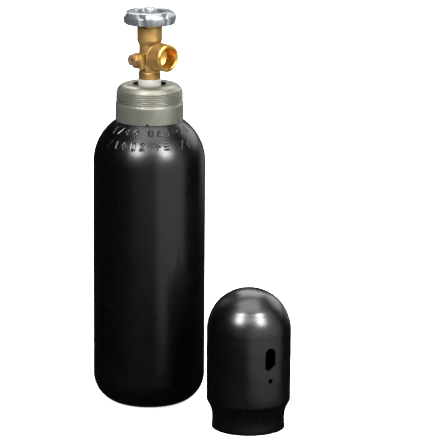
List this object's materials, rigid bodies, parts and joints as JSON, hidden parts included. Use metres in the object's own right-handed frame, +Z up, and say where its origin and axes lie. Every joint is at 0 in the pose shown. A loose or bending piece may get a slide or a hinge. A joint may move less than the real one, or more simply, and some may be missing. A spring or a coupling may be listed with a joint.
{
  "type": "gas cylinder",
  "caption": "Small steel gas cylinder with a neck ring, a brass handwheel valve with side outlet and safety plug, and its loose domed protective cap.",
  "frame": {"origin": "on the floor, under the middle of the footprint of the standing cylinder and the cap beside it", "axes": "+Z up along the cylinder, +X along the valve outlet and towards the cap, -Y along the safety plug"},
  "size_m": [0.278, 0.1334, 0.4784],
  "materials": {
    "black_paint": "satin black enamel with a fine orange peel",
    "bare_steel": "turned bare steel",
    "brass": "forged brass, machined where it seals",
    "cast_aluminium": "tumbled die casting",
    "stainless": "machined stainless steel",
    "copper": "soft copper",
    "ptfe": "wound white PTFE",
    "nylon": "natural nylon",
    "rubber": "black nitrile"
  },
  "bodies": {
    "cylinder": {"cylinder_shell": "black_paint", "neck_ring": "bare_steel", "thread_seal_tape": "ptfe", "valve_body": "brass", "safety_plug": "brass", "rupture_disc": "copper", "safety_gasket": "copper", "bonnet": "brass", "bonnet_gasket": "nylon"},
    "stem": {"upper_stem": "stainless", "stem_o_ring": "rubber", "backup_ring": "ptfe", "thrust_washer": "nylon", "handwheel": "cast_aluminium", "handwheel_spring": "stainless", "handwheel_washer": "stainless", "handwheel_nut": "stainless"},
    "plug": {"lower_plug": "brass", "seat_disc": "nylon"},
    "cap": {"protective_cap": "black_paint"}
  },
  "joints": [
    {"name": "handwheel_turn", "type": "hinge", "parent": "cylinder", "child": "stem", "pos_m": [-0.07231, 0, 0.4597], "axis": [0, 0, 1], "range_deg": [0, 900]},
    {"name": "plug_lift", "type": "slide", "parent": "stem", "child": "plug", "axis": [0, 0, 1], "range_m": [0, 0.00375]},
    {"name": "cap_lift", "type": "slide", "parent": "cylinder", "child": "cap", "axis": [0, 0, 1], "range_m": [0, 0.49]}
  ],
  "couplings": [
    {"joint": "plug_lift", "follows": "handwheel_turn", "m_per_rad": 0.00023873}
  ]
}
